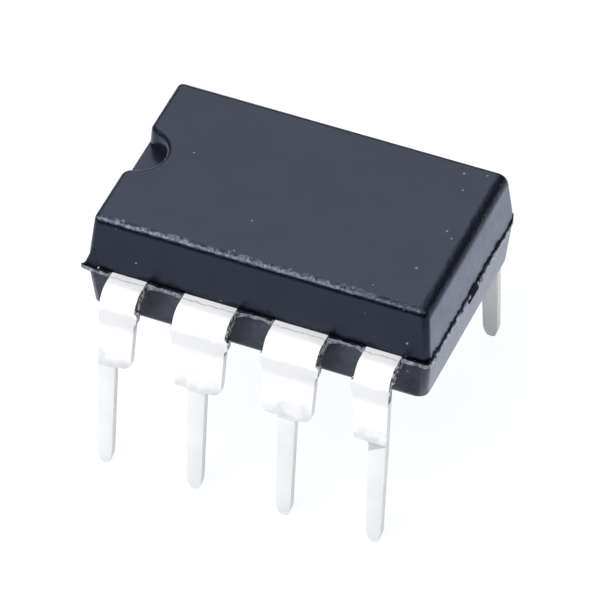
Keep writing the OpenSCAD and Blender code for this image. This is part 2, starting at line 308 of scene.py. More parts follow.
# %% Moulded epoxy: grain, gloss, and the painted highlight on the front edge
# Grain of the mould, 0.06 mm, and on the edges coarser lumps that sparkle
grain = add(tree, "TexNoise", {"Vector": in_mm, "Scale": 16.0, "Detail": 3.0, "Roughness": 0.6})
lumps = add(tree, "TexNoise", {"Vector": in_mm, "Scale": 7.0, "Detail": 4.0, "Roughness": 0.65})
fine = add(tree, "Bump", {"Strength": 0.12, "Distance": 0.000005, "Height": grain})
coarse_strength = add(tree, "Math", {0: edge, 1: 0.8}, operation="MULTIPLY")
coarse = add(tree, "Bump", {"Strength": coarse_strength, "Distance": 0.000025,
                            "Height": lumps, "Normal": fine})
# Rubbing polishes the round edges, so they are glossier than the faces
matte = add(tree, "MapRange", {0: grain, 1: 0.3, 2: 0.7, 3: 0.2, 4: 0.28})
rough = add(tree, "Mix", {0: edge, 2: matte, 3: 0.22})
# Painted highlight: a pale, grainy colour along the front edge stands in for the lamp's glint there
crystals = add(tree, "TexNoise", {"Vector": in_mm, "Scale": 11.0, "Detail": 3.0, "Roughness": 0.7})
bare_and_highlight = add(tree, "ValToRGB", {0: crystals}, stops=((0.4, "#23252e"), (0.66, "#858895")))
colour_with_highlight = add(tree, "Mix", {0: painted_highlight_mask, 6: colour, 7: bare_and_highlight}, data_type="RGBA")

# %% Moulded epoxy: crumbs
# Pale crumbs hang on below the broken rim at the two ends, fewer the lower they are
height = add(tree, "Math", {0: place.outputs["Z"], 1: PART_Z}, operation="SUBTRACT")
odds = add(tree, "MapRange", {0: height, 1: -0.5, 2: -0.3, 3: -0.3, 4: -0.06})
crumbs = add(tree, "Math", {0: odds, 1: crystals}, operation="ADD")
crumbs = add(tree, "MapRange", {0: crumbs, 1: 0.42, 2: 0.48})
low = add(tree, "Math", {0: height, 1: -0.04}, operation="LESS_THAN")
crumbs = add(tree, "Math", {0: crumbs, 1: low}, operation="MULTIPLY")
crumbs = add(tree, "Math", {0: crumbs, 1: on_end}, operation="MULTIPLY")
colour_with_highlight = add(tree, "Mix", {0: crumbs, 6: colour_with_highlight, 7: ink("#bcc0cd")}, data_type="RGBA")

# %% Moulded epoxy: two lines of painted shade
# Two lines are painted shade. One is the shade in the corner above the rim, deeper between the leads
turn = add(tree, "Math", {0: place.outputs["X"], 1: 2 * math.pi / PITCH}, operation="MULTIPLY")
between = add(tree, "Math", {0: turn}, operation="COSINE")
depth = add(tree, "MapRange", {0: between, 1: -0.7, 2: 0.6, 3: 0.1, 4: 0.3})
depth = add(tree, "Math", {0: wander, 1: depth}, operation="MULTIPLY")
share = add(tree, "Math", {0: height, 1: depth}, operation="DIVIDE")
painted_crevice_shade = add(tree, "MapRange", {0: share, 1: 2.0, 2: 0.6}, interpolation_type="SMOOTHSTEP")
# The other is a painted dark line on the lower side of the highlighted front edge, where its gloss would
# mirror the dim room
below = add(tree, "MapRange", {0: slope, 1: 1.0, 2: 0.86})
slant = add(tree, "Math", {0: wander, 1: 0.25, 2: facing.outputs["Z"]}, operation="MULTIPLY_ADD")
steep = add(tree, "MapRange", {0: slant, 1: 0.29, 2: 0.4})
forward = add(tree, "MapRange", {0: place.outputs["Y"], 1: -2.6, 2: -2.7})
painted_dark_line = add(tree, "Math", {0: below, 1: steep}, operation="MULTIPLY")
painted_dark_line = add(tree, "Math", {0: painted_dark_line, 1: forward}, operation="MULTIPLY")
# Neither painted shade is quite black: the dark line is thin, and at the ends the shade above the rim is
# weaker
painted_dark_line = add(tree, "Math", {0: painted_dark_line, 1: 0.6}, operation="MULTIPLY")
shallow = add(tree, "MapRange", {0: on_end, 3: 0.8, 4: 0.35})
painted_crevice_shade = add(tree, "Math", {0: painted_crevice_shade, 1: shallow}, operation="MULTIPLY")
painted_shade = add(tree, "Math", {0: painted_crevice_shade, 1: painted_dark_line}, operation="MAXIMUM")
upper_half = add(tree, "Math", {0: height, 1: -0.02}, operation="GREATER_THAN")
painted_shade = add(tree, "Math", {0: painted_shade, 1: upper_half}, operation="MULTIPLY")
with_painted_shade = add(tree, "Mix", {0: painted_shade, 6: colour_with_highlight, 7: ink("#020203")}, data_type="RGBA")
# Light that goes into a crevice doesn't come back, not even as a gloss, so the painted shade also takes the
# gloss away:
# Metallic with a black colour is the one setting of the shader that does that
painted_shade_gloss_off = add(tree, "MapRange", {0: painted_shade, 1: 0.5, 2: 1.0, 3: 0.0, 4: 0.8})
plug(tree, shader, {"Base Color": with_painted_shade, "Roughness": rough, "Metallic": painted_shade_gloss_off, "Normal": coarse,
                    "IOR": 1.41, "Specular Tint": ink("#c8dbff")})
print(epoxy.name, len(tree.nodes), "nodes")

# %% [markdown]
# ## Crumbled flash
#
# Where the two halves of the mould meet, a little epoxy creeps out and sets as a
# thin rim. It is broken off in tumbling, so what is left is a torn edge: rough,
# full of pale filler, and paler than the smooth skin of the body. At the ends of
# the body the rim is broken off deeper, and what shows there is mostly a ragged
# scar painted dark, as painted shade of a recess, with a few pale crumbs along
# its lower side.

# %% Broken epoxy
flash_epoxy, tree, shader, in_mm = new_material("broken_epoxy_flash")
crumbs = add(tree, "TexNoise", {"Vector": in_mm, "Scale": 7.0, "Detail": 5.0, "Roughness": 0.75})
shade = add(tree, "ValToRGB", {0: crumbs}, stops=((0.36, "#24252f"), (0.6, "#a3a6b4")))
# At the ends the scar is painted dark, as shade in a recess, and pale crumbs lie only along its lower side
place = add(tree, "SeparateXYZ", {0: in_mm})
far_x = add(tree, "Math", {0: place.outputs["X"]}, operation="ABSOLUTE")
far_y = add(tree, "Math", {0: place.outputs["Y"]}, operation="ABSOLUTE")
on_end = add(tree, "MapRange", {0: far_x, 1: BODY_L / 2 - 0.03, 2: BODY_L / 2})
inside = add(tree, "MapRange", {0: far_y, 1: BODY_W / 2 + 0.02, 2: BODY_W / 2 - 0.02})
end = add(tree, "Math", {0: on_end, 1: inside}, operation="MULTIPLY")
low = add(tree, "MapRange", {0: place.outputs["Z"], 1: PART_Z - 0.01, 2: PART_Z - 0.05})
pale = add(tree, "MapRange", {0: crumbs, 1: 0.46, 2: 0.52})
crumb = add(tree, "Math", {0: low, 1: pale}, operation="MULTIPLY")
shaded_scar = add(tree, "Mix", {0: crumb, 6: ink("#303341"), 7: ink("#c6c9d6")}, data_type="RGBA")
colour = add(tree, "Mix", {0: end, 6: shade, 7: shaded_scar}, data_type="RGBA")
bump = add(tree, "Bump", {"Strength": 0.9, "Distance": 0.00004, "Height": crumbs})
# As with the body's painted crevice shade, Metallic takes the gloss away from the painted black of the scar
painted_scar_gloss_off = add(tree, "Math", {0: crumb, 1: -0.15, 2: 0.15}, operation="MULTIPLY_ADD")
painted_scar_gloss_off = add(tree, "Math", {0: painted_scar_gloss_off, 1: end}, operation="MULTIPLY")
rough = add(tree, "MapRange", {0: end, 3: 0.75, 4: 1.0})
plug(tree, shader, {"Base Color": colour, "Metallic": painted_scar_gloss_off, "Roughness": rough, "Normal": bump,
                    "IOR": 1.45})
print(flash_epoxy.name, len(tree.nodes), "nodes")

# %% [markdown]
# ## Matte tin
#
# The leads are plated with matte tin. It is a silver-white metal whose crystals
# are too small to see one by one. Light bounces between them, so the plating is
# milky: most of it scatters like white paint and the rest is a wide, soft
# reflection. Metallic is set to the share that is still a reflection. Rolling marks
# of the strip underneath run along each lead and show through faintly.

# %% Matte tin: plating over rolled strip
tin, tree, shader, in_mm = new_material("matte_tin_plate")
# Rolling marks: noise drawn out along the lead, 0.05 mm apart across it
drawn = add(tree, "Mapping", {"Vector": in_mm, "Scale": (12.0, 1.2, 1.2)})
marks = add(tree, "TexNoise", {"Vector": drawn, "Scale": 1.6, "Detail": 3.0})
crystals = add(tree, "TexNoise", {"Vector": in_mm, "Scale": 24.0, "Detail": 2.0})
stains = add(tree, "TexNoise", {"Vector": in_mm, "Scale": 0.9, "Detail": 2.0, "Roughness": 0.5})
tint = add(tree, "ValToRGB", {0: stains}, stops=((0.35, "#eaecee"), (0.6, "#eff1f3")))

# %% Matte tin: painted shade and shadow at the pin's root
# A faint grey line across each pin's root is painted shade, as of a small step down from the shoulder
place = add(tree, "SeparateXYZ", {0: in_mm})
wave = add(tree, "Math", {0: stains, 1: 0.08, 2: place.outputs["Z"]}, operation="MULTIPLY_ADD")
off = add(tree, "Math", {0: wave, 1: SEAT_Z + 0.02}, operation="SUBTRACT")
off = add(tree, "Math", {0: off}, operation="ABSOLUTE")
painted_root_shade = add(tree, "MapRange", {0: off, 1: 0.035, 2: 0.005, 3: 0.0, 4: 0.5})
tin_with_painted_light = add(tree, "Mix", {0: painted_root_shade, 6: tint, 7: ink("#b4b7b8")}, data_type="RGBA")
# On the fourth lead a grey wedge at the root of the pin is painted shadow, as if cast by the shoulder
pin_x, END_LEAD_X = 1.5 * PITCH, 3.2
wedge = add(tree, "MapRange", {0: place.outputs["X"], 1: pin_x - 0.25, 2: pin_x + 0.25, 3: 0.3, 4: 0.0})
lowest = add(tree, "Math", {0: wedge, 1: place.outputs["Z"]}, operation="ADD")
painted_wedge_shadow = add(tree, "MapRange", {0: lowest, 1: SEAT_Z - 0.01, 2: SEAT_Z + 0.01})
root = add(tree, "MapRange", {0: place.outputs["Z"], 1: SEAT_Z + 0.03, 2: SEAT_Z})
outer = add(tree, "Math", {0: place.outputs["X"], 1: END_LEAD_X}, operation="GREATER_THAN")
near = add(tree, "Math", {0: place.outputs["Y"], 1: 0.0}, operation="LESS_THAN")
for mask in (root, outer, near):
    painted_wedge_shadow = add(tree, "Math", {0: painted_wedge_shadow, 1: mask}, operation="MULTIPLY")
painted_wedge_shadow = add(tree, "Math", {0: painted_wedge_shadow, 1: 0.6}, operation="MULTIPLY")
tin_with_painted_light = add(tree, "Mix", {0: painted_wedge_shadow, 6: tin_with_painted_light, 7: ink("#9da0a4")}, data_type="RGBA")

# %% Matte tin: shoulders and bend
# The shoulders are painted whiter than the pins, as painted light on their broad faces, except for patches of
# stain along their lower ends
blot = add(tree, "TexNoise", {"Vector": in_mm, "Scale": 2.4, "Detail": 3.0, "Roughness": 0.55})
rise = add(tree, "Math", {0: blot, 1: 1.6, 2: place.outputs["Z"]}, operation="MULTIPLY_ADD")
painted_shoulder_light = add(tree, "MapRange", {0: rise, 1: SEAT_Z + 0.85, 2: SEAT_Z + 1.3, 3: 0.0, 4: 0.75})
stain = add(tree, "MapRange", {0: rise, 1: SEAT_Z + 1.4, 2: SEAT_Z + 0.7, 3: 0.0, 4: 0.45})
on_blade = add(tree, "MapRange", {0: place.outputs["Z"], 1: SEAT_Z, 2: SEAT_Z + 0.04})
stain = add(tree, "Math", {0: stain, 1: on_blade}, operation="MULTIPLY")
tin_with_painted_light = add(tree, "Mix", {0: stain, 6: tin_with_painted_light, 7: ink("#c3c6c6")}, data_type="RGBA")
tin_with_painted_light = add(tree, "Mix", {0: painted_shoulder_light, 6: tin_with_painted_light, 7: ink("#fcfcfd")}, data_type="RGBA")
# Faces that look up, the flat top and the outside of the bend, are painted brighter, as painted light from
# above
facing = add(tree, "SeparateXYZ", {0: add(tree, "TexCoord").outputs["Normal"]})
painted_top_light = add(tree, "MapRange", {0: facing.outputs["Z"], 1: 0.3, 2: 0.8})
tin_with_painted_light = add(tree, "Mix", {0: painted_top_light, 6: tin_with_painted_light, 7: ink("#fdfdff")}, data_type="RGBA")

# %% Matte tin: crept resin and a band of painted shade
# Resin that crept onto the metal near the body has dried to a wavy grey line, 0.2 mm out
RESIN_Y = 3.37
out = add(tree, "Math", {0: place.outputs["Y"]}, operation="ABSOLUTE")
creep = add(tree, "TexNoise", {"Vector": in_mm, "Scale": 4.0, "Detail": 4.0, "Roughness": 0.7})
edge = add(tree, "Math", {0: creep, 1: 0.25, 2: out}, operation="MULTIPLY_ADD")
edge = add(tree, "Math", {0: edge, 1: RESIN_Y}, operation="SUBTRACT")
edge = add(tree, "Math", {0: edge}, operation="ABSOLUTE")
film_and_sheen = add(tree, "MapRange", {0: edge, 1: 0.035, 2: 0.01, 3: 0.0, 4: 0.5})
filmed = add(tree, "Mix", {0: film_and_sheen, 6: tin_with_painted_light, 7: ink("#96999f")}, data_type="RGBA")
# Below the bend a greyer band is painted shade
ragged = add(tree, "Math", {0: creep, 1: 0.35, 2: place.outputs["Z"]}, operation="MULTIPLY_ADD")
under_bend = add(tree, "MapRange", {0: ragged, 1: BEND_Z + 0.2, 2: BEND_Z + 0.12})
fade = add(tree, "MapRange", {0: ragged, 1: BEND_Z - 0.45, 2: BEND_Z - 0.25})
painted_shade_band = add(tree, "Math", {0: under_bend, 1: fade}, operation="MULTIPLY")
painted_shade_band = add(tree, "Math", {0: painted_shade_band, 1: 0.3}, operation="MULTIPLY")
shaded_tin_colour = add(tree, "Mix", {0: painted_shade_band, 6: filmed, 7: ink("#b2b5bb")}, data_type="RGBA")

# %% Matte tin: gloss and dents
rough = add(tree, "MapRange", {0: marks, 1: 0.3, 2: 0.7, 3: 0.46, 4: 0.56})
fine = add(tree, "Bump", {"Strength": 0.2, "Distance": 0.000004, "Height": crystals})
lines = add(tree, "Bump", {"Strength": 0.25, "Distance": 0.000008, "Height": marks,
                           "Normal": fine})
# Shallow dents from the bending tool, half a millimetre across
dents = add(tree, "TexNoise", {"Vector": in_mm, "Scale": 1.9, "Detail": 1.0})
dented = add(tree, "Bump", {"Strength": 0.6, "Distance": 0.00005, "Height": dents,
                            "Normal": lines})
plug(tree, shader, {"Base Color": shaded_tin_colour, "Roughness": rough, "Normal": dented, "Metallic": 0.15})
print(tin.name, len(tree.nodes), "nodes")

# %% [markdown]
# ## Sheared metal
#
# The narrow sides of a lead are cut by the press. Low down, where the lead was
# cut before plating, they are tinned almost as white as the wide faces. Beside
# the bend the dam bar was cut away after moulding, so bare metal shows there:
# part of it is burnished bright by the punch and the rest is torn and dark.

# %% Sheared edge
# Above this height the sides were cut last, with the dam bar, so they are bare
LATE_CUT_Z = 4.85
sheared, tree, shader, in_mm = new_material("sheared_alloy_edge")
torn = add(tree, "TexNoise", {"Vector": in_mm, "Scale": 9.0, "Detail": 3.0, "Roughness": 0.6})
bare_and_highlight = add(tree, "ValToRGB", {0: torn}, stops=((0.46, "#323338"), (0.56, "#e0e0df")))
tinned = add(tree, "ValToRGB", {0: torn}, stops=((0.35, "#eaebeb"), (0.6, "#f8f8f6")))
place = add(tree, "SeparateXYZ", {0: in_mm})
cut_late = add(tree, "MapRange", {0: place.outputs["Z"], 1: LATE_CUT_Z - 0.1, 2: LATE_CUT_Z + 0.1})
tint = add(tree, "Mix", {0: cut_late, 6: tinned, 7: bare_and_highlight}, data_type="RGBA")
strength = add(tree, "MapRange", {0: cut_late, 3: 0.2, 4: 0.8})
bump = add(tree, "Bump", {"Strength": strength, "Distance": 0.00002, "Height": torn})
plug(tree, shader, {"Base Color": tint, "Normal": bump, "Metallic": 0.3, "Roughness": 0.45})
print(sheared.name, len(tree.nodes), "nodes")

# %% [markdown]
# ## The moulded body
#
# The body is two shallow trays of epoxy set rim to rim, each narrower away from
# the parting line so that it drops out of its half of the mould. A cube is the
# right start: it is stretched to size and its far face is pulled in by the draft.
# The notch that marks the pin 1 end is cut by a Boolean, because its round wall
# crosses a sloping face. Its cutter is drawn as a flat outline whose two mouth
# corners are rounded first, then raised to a block that leans as the end does.
# All the edges are then rounded in one Bevel. Its weights give the plain end the
# widest round, the long sides and the upright corners 0.2 mm, and the notched
# end a little less, as the mould's edges are worn unevenly.

# %% Body: a drafted half
def drafted_half(z, height, up):
    bm = bmesh.new()
    bmesh.ops.create_cube(bm, size=1)
    bmesh.ops.scale(bm, vec=(BODY_L, BODY_W, height), verts=bm.verts)
    bmesh.ops.translate(bm, vec=(0, 0, z + up * height / 2), verts=bm.verts)
    far = [v for v in bm.verts if (v.co.z - z) * up > height / 2]
    pull_x = 1 - 2 * height * math.tan(END_DRAFT) / BODY_L
    pull_y = 1 - 2 * height * math.tan(SIDE_DRAFT) / BODY_W
    bmesh.ops.scale(bm, vec=(pull_x, pull_y, 1), verts=far)
    return bm


def weigh_edges(bm, weight_of):
    layer = bm.edges.layers.float.get("bevel_weight_edge") or bm.edges.layers.float.new("bevel_weight_edge")
    for edge in bm.edges:
        edge[layer] = weight_of(edge)


def rounded(bm, radius, steps):
    return through_modifier(bm, "BEVEL", width=radius, segments=steps, limit_method="WEIGHT",
                            offset_type="OFFSET", use_clamp_overlap=False)


# %% Body: cutter of the notch
# Most of a half circle, a mouth corner at each side, and a back wall outside the body
NOTCH_R, NOTCH_DEPTH = 0.8, 0.63
MOUTH_R, MOUTH_BEVEL, CLEAR = 0.3, 0.22, 0.004
notch_tool = bmesh.new()
touch = math.acos(MOUTH_R / (NOTCH_R + MOUTH_R))
mouth_y = NOTCH_R / math.sin(touch) + CLEAR / math.tan(touch)
arc = [touch * i / 9 for i in range(-8, 9)]
outline = [(-0.3, -1.5), (-CLEAR, -1.5), (-CLEAR, -mouth_y)]
outline += [(NOTCH_R * math.cos(a), NOTCH_R * math.sin(a)) for a in arc]
outline += [(-CLEAR, mouth_y), (-CLEAR, 1.5), (-0.3, 1.5)]
corners = [notch_tool.verts.new((x, y, 0)) for x, y in outline]
notch_tool.faces.new(corners)
bmesh.ops.bevel(notch_tool, geom=[corners[2], corners[-3]], offset=MOUTH_BEVEL, offset_type="OFFSET",
                segments=6, profile=0.5, affect="VERTICES", material=-1)
raised = bmesh.ops.extrude_face_region(notch_tool, geom=notch_tool.faces[:])
raised = [g for g in raised["geom"] if isinstance(g, bmesh.types.BMVert)]
bmesh.ops.translate(notch_tool, vec=(0, 0, 1), verts=raised)
end_slope = Matrix.Shear("XY", 4, (math.tan(END_DRAFT), 0))
bmesh.ops.transform(notch_tool, matrix=end_slope, verts=notch_tool.verts)
bmesh.ops.recalc_face_normals(notch_tool, faces=notch_tool.faces)
floor_z = TOP_Z - NOTCH_DEPTH
floor_x = BODY_L / 2 - (floor_z - PART_Z) * math.tan(END_DRAFT)
bmesh.ops.translate(notch_tool, vec=(-floor_x, 0, floor_z), verts=notch_tool.verts)
print("cutter:", len(notch_tool.faces), "faces")

# %% Body: upper half with its notch
upper = drafted_half(PART_Z - 0.01, TOP_Z - PART_Z + 0.01, 1)
upper = cut_away(upper, notch_tool)
# The cut leaves edges 0.02 mm long at the mouth, which a bevel would fold over
bmesh.ops.remove_doubles(upper, verts=upper.verts, dist=0.03)

# The widest round, and the share of it that each kind of edge gets
EDGE_R = 0.36
UPRIGHT, PLAIN_END, NOTCHED_END, LONG_SIDE = 0.53, 1.0, 0.4, 0.58


def upper_weight(edge):
    a, b = (v.co for v in edge.verts)
    # The notch's own upright edges stay sharp, and so do all the edges below the top
    if abs(a.z - b.z) > 0.3:
        return UPRIGHT if abs(a.y) > 2 else 0.0
    if min(a.z, b.z) < TOP_Z - 0.01:
        return 0.0
    if min(a.x, b.x) > 3:
        return PLAIN_END
    return NOTCHED_END if max(a.x, b.x) < -3 else LONG_SIDE


weigh_edges(upper, upper_weight)
upper = rounded(upper, EDGE_R, 6)
# Faces with a bay in their outline are split, so that they can't be filled wrongly
for spot, way in (((0, 0, 0), (0, 1, 0)), ((-3.5, 0, 0), (1, 0, 0))):
    bmesh.ops.bisect_plane(upper, geom=upper.verts[:] + upper.edges[:] + upper.faces[:], dist=1e-5,
                           plane_co=spot, plane_no=way)
print("upper half:", len(upper.faces), "faces")

# %% Body: lower half with its ejector marks
LOWER_TOP_Z, LOWER_EDGE_R = PART_Z - 0.07, 0.22
MARK_R, MARK_X, MARK_DEPTH = 0.75, 2.5, 0.06
lower = drafted_half(LOWER_TOP_Z, LOWER_TOP_Z - UNDER_Z, -1)
for x in (-MARK_X, MARK_X):
    mark_tool = bmesh.new()
    bmesh.ops.create_cone(mark_tool, cap_ends=True, segments=48, radius1=MARK_R, radius2=MARK_R,
                          depth=2 * MARK_DEPTH)
    bmesh.ops.translate(mark_tool, vec=(x, 0, UNDER_Z), verts=mark_tool.verts)
    lower = cut_away(lower, mark_tool)


def lower_weight(edge):
    a, b = (v.co for v in edge.verts)
    upright = abs(a.z - b.z) > 0.3
    on_rim = max(a.z, b.z) < UNDER_Z + 0.01 and max(abs(a.y), abs(b.y)) > 2
    return 1.0 if upright and abs(a.y) > 2 or on_rim else 0.0


weigh_edges(lower, lower_weight)
lower = rounded(lower, LOWER_EDGE_R, 6)

# %% Body: both halves in one piece
body = bmesh.new()
for half in (upper, lower):
    holder = bpy.data.meshes.new("half")
    half.to_mesh(holder)
    half.free()
    body.from_mesh(holder)
    bpy.data.meshes.remove(holder)
finish_piece(body, "package_body", [epoxy], ["moulded_body"])

# %% [markdown]
# ## The flash round the parting line
#
# The rim is a thin slab that stands out by 0.1 mm along the sides and less at the
# ends. It starts as a cube, its sides are cut into short lengths, and noise moves
# every point of the outer edge in or out. Two spots stick out further, at the
# corners where the runners of the mould were: the near left corner and the far
# right one. The slab's flat top keeps the mould's smooth dark skin, and only its
# broken outer side is pale, so seen from above it is a dark line over a pale one.
# Between the leads the outer edge curls up a little. Over the leads there is no
# flash, because there the upper mould closes straight onto the metal.

# %% Flash: a slab with a finely cut rim
FLASH_TOP, FLASH_BOTTOM = PART_Z - 0.006, PART_Z - 0.095
RIM_L, RIM_W = BODY_L + 0.07, BODY_W + 0.19
flash = bmesh.new()
bmesh.ops.create_cube(flash, size=1)
bmesh.ops.scale(flash, vec=(RIM_L, RIM_W, FLASH_TOP - FLASH_BOTTOM), verts=flash.verts)
bmesh.ops.translate(flash, vec=(0, 0, (FLASH_TOP + FLASH_BOTTOM) / 2), verts=flash.verts)
lids = [f for f in flash.faces if abs(f.normal.z) > 0.9]
bmesh.ops.inset_region(flash, faces=lids, thickness=0.2, use_even_offset=True)
corners = [e for e in flash.edges if abs(e.verts[0].co.z - e.verts[1].co.z) > 0.01]
bmesh.ops.bevel(flash, geom=corners, offset=0.12, offset_type="OFFSET", segments=4, profile=0.5,
                affect="EDGES", material=-1)
# Only the rim is cut, so the two wide lids stay whole
for direction, span, count in ((Vector((1, 0, 0)), RIM_L, 260), (Vector((0, 1, 0)), RIM_W, 200)):
    for i in range(1, count):
        spot = direction * span * (i / count - 0.5)
        near_rim = [f for f in flash.faces if not (abs(f.normal.z) > 0.9 and f.calc_area() > 20)]
        geom = set(near_rim) | {e for f in near_rim for e in f.edges} | {v for f in near_rim for v in f.verts}
        bmesh.ops.bisect_plane(flash, geom=list(geom), dist=1e-5, plane_co=spot, plane_no=direction)
print("flash:", len(flash.faces), "faces")

# %% Flash: its torn edge
# Spots where the rim is pushed out or in, as (place, push, reach)
SPURS = [(Vector((-4.83, -3.13)), Vector((-0.13, 0.0)), 0.14),
         (Vector((4.83, 3.1)), Vector((-0.06, -0.06)), 0.2),
         (Vector((4.8, 3.1)), Vector((0.06, 0.03)), 0.03)]
# The left spur is a fin that climbs the corner of the body and leans in against it
FIN, FIN_REACH, FIN_RISE = Vector((-4.75, -3.07)), 0.2, Vector((0.12, 0.06, 0.6))
# How far along x, on either side of the middle, the inner and the end leads cover the rim
COVERED = [(0.5, 2.04), (3.04, 4.08)]
# The sides of the leads beside which it hangs down
LEAD_SIDES = (0.5, 2.04, 3.04)
# How deep the outer edge is torn at the ends and along the sides
END_TEAR, SIDE_TEAR = 0.025, 0.045
rim_x, rim_y, middle_z = RIM_L / 2, RIM_W / 2, (FLASH_TOP + FLASH_BOTTOM) / 2
for v in flash.verts:
    upper_rim = v.co.z > middle_z
    # Only the outermost 0.08 mm are torn, and further in the fin alone is raised
    outside = max(abs(v.co.x) - rim_x + 0.1, abs(v.co.y) - rim_y + 0.1)
    if outside < 0.02:
        if upper_rim:
            lift = math.exp(-((v.co.xy - FIN).length / FIN_REACH) ** 2)
            v.co += FIN_RISE * lift
        continue
    torn = noise.fractal(v.co * 3.1, 0.9, 2.1, 4)
    push = Vector((v.co.x * 0.6, v.co.y, 0)).normalized()
    on_end = abs(v.co.x) > rim_x - 0.05 and abs(v.co.y) < rim_y - 0.1
    v.co.xy += (push * torn * (END_TEAR if on_end else SIDE_TEAR)).xy
    for place, way, reach in SPURS:
        near = math.exp(-((v.co.xy - place).length / reach) ** 2)
        v.co.xy += way * near
    # At the ends the break is thicker. Along the sides it curls up between the leads and hangs
    # down a little beside them
    ragged = noise.fractal(v.co * 4.7, 0.8, 2.1, 3)
    if on_end:
        v.co.z += (1 if upper_rim else -1) * max(0.0, 0.035 + 0.11 * ragged)
    elif abs(v.co.y) > rim_y - 0.12:
        covered = any(low < abs(v.co.x) < high for low, high in COVERED)
        beside = max(math.exp(-((abs(v.co.x) - lead_side) / 0.16) ** 2) for lead_side in LEAD_SIDES)
        if upper_rim:
            v.co.z += -0.02 if covered else 0.03 + 0.03 * ragged
        else:
            v.co.z += 0.01 * ragged - 0.09 * beside

# %% Flash: pale where it broke, dark where the mould touched it
for face in flash.faces:
    face.normal_update()
    on_fin = face.calc_center_median().z > FLASH_TOP + 0.05
    face.material_index = 0 if abs(face.normal.z) < 0.75 and not on_fin else 1
finish_piece(flash, "parting_flash", [flash_epoxy, epoxy], ["moulded_body"], painted_root_shade=50)

# %% [markdown]
# ## A lead, made as the press makes it
#
# A real lead is stamped flat and then bent, and the script does the same. The
# flat blank is one face with the lead's unrolled outline, given its thickness by
# an extrusion. Its long edges are rounded a little, as a punch leaves them. Short
# cuts across the bend give the strip something to curve with, and each point is
# then rolled round the bend's axis by its distance along the strip. Bending a
# finished blank keeps the thickness the same everywhere, which pulling a bent
# shape to size wouldn't.
#
# A wide side carries the stub of the dam bar, which joined the leads to each
# other during moulding and was cut away later, with a ragged lip along the bend.
# The end leads have a shoulder only on the side towards the middle.

# %% Lead: sizes
MID_R = BEND_R + STRIP / 2
SPLAY = math.radians(3.5)
BEND_V = ROW_SPACING / 2 - MID_R * math.cos(SPLAY)
TURN = math.pi / 2 - SPLAY
ARC = MID_R * TURN
SEAT_T = (BEND_Z + MID_R * math.sin(SPLAY) - SEAT_Z) / math.cos(SPLAY)
TIP_T = (BEND_Z + BEND_R * math.sin(SPLAY)) / math.cos(SPLAY)
BLADE = BEND_V + ARC
# Half widths: the shoulder at the body and at its lower end, the pin, its lower end and its tip
ROOT_HALF, SHOULDER_HALF = 0.745, 0.675
PIN_HALF, PIN_END_HALF, TIP_HALF, TIP_LEN = 0.25, 0.215, 0.12, 0.3
# Radii of the shoulder's two lower corners, and of the round that the punch leaves on edges
SOFT_CORNER, TIGHT_CORNER, PUNCH_R = 0.26, 0.11, 0.025
print("strip bends at", round(BEND_V, 3), "and is", round(BLADE + TIP_T, 3), "mm long from the middle")


# %% Lead: one side of the flat outline
def side_outline(wide, variation, corner):
    """Half widths down one side, as (half width, distance along the strip, corner radius)."""
    pin = [
        (PIN_HALF, BLADE + SEAT_T, 0.06 if wide else 0),
        (PIN_END_HALF, BLADE + TIP_T - TIP_LEN, 0.12),
        (TIP_HALF, BLADE + TIP_T, 0.07),
    ]
    if not wide:
        return [(PIN_HALF, BLADE - 0.02, 0)] + pin
    stub = 0.82 + 0.02 * variation
    return [
        (ROOT_HALF, BLADE - 0.06, 0),
        (stub, BLADE - 0.02, 0.02),
        (stub - 0.01, BLADE + 0.26, 0.02),
        (ROOT_HALF + 0.01, BLADE + 0.34, 0.05),
        (SHOULDER_HALF, BLADE + SEAT_T, corner),
    ] + pin


# %% Lead: the finger inside the body
FULL_END = BODY_W / 2 - 0.8


def finger_outline(place):
    """Outline inside the body, from the +x side of the bend round to the -x side."""
    if place in (0, 3):
        s = -1 if place == 0 else 1
        reach = 1.5 * PITCH - 1.8
        ends = [(s * ROOT_HALF, FULL_END), (s * reach, 1.175), (s * reach, 0.625), (-s * PIN_HALF, FULL_END)]
        return ends if s > 0 else ends[::-1]
    half = [(ROOT_HALF, FULL_END), (0.35, 1.855), (0.35, 1.35)]
    return half + [(-u, s) for u, s in reversed(half)]


# %% Lead: stamp the blank
def stamp_blank(place, variation):
    left = side_outline(place != 3, variation, SOFT_CORNER)
    right = side_outline(place != 0, -variation, TIGHT_CORNER)
    outline = [(-w, s, r) for w, s, r in left]
    outline += [(w, s, r) for w, s, r in reversed(right)]
    outline += [(u, s, 0) for u, s in finger_outline(place)]
    bm = bmesh.new()
    points = [bm.verts.new((u, s, 0)) for u, s, r in outline]
    bm.faces.new(points)
    for point, (u, s, r) in zip(points, outline):
        if r:
            bmesh.ops.bevel(bm, geom=[point], offset=r, offset_type="OFFSET", segments=4, profile=0.5,
                            affect="VERTICES", material=-1)
    bmesh.ops.recalc_face_normals(bm, faces=bm.faces)
    made = bmesh.ops.extrude_face_region(bm, geom=bm.faces[:])
    lifted = [g for g in made["geom"] if isinstance(g, bmesh.types.BMVert)]
    bmesh.ops.translate(bm, vec=(0, 0, STRIP), verts=lifted)
    bmesh.ops.translate(bm, vec=(0, 0, -STRIP / 2), verts=bm.verts)
    bmesh.ops.recalc_face_normals(bm, faces=bm.faces)
    return bm


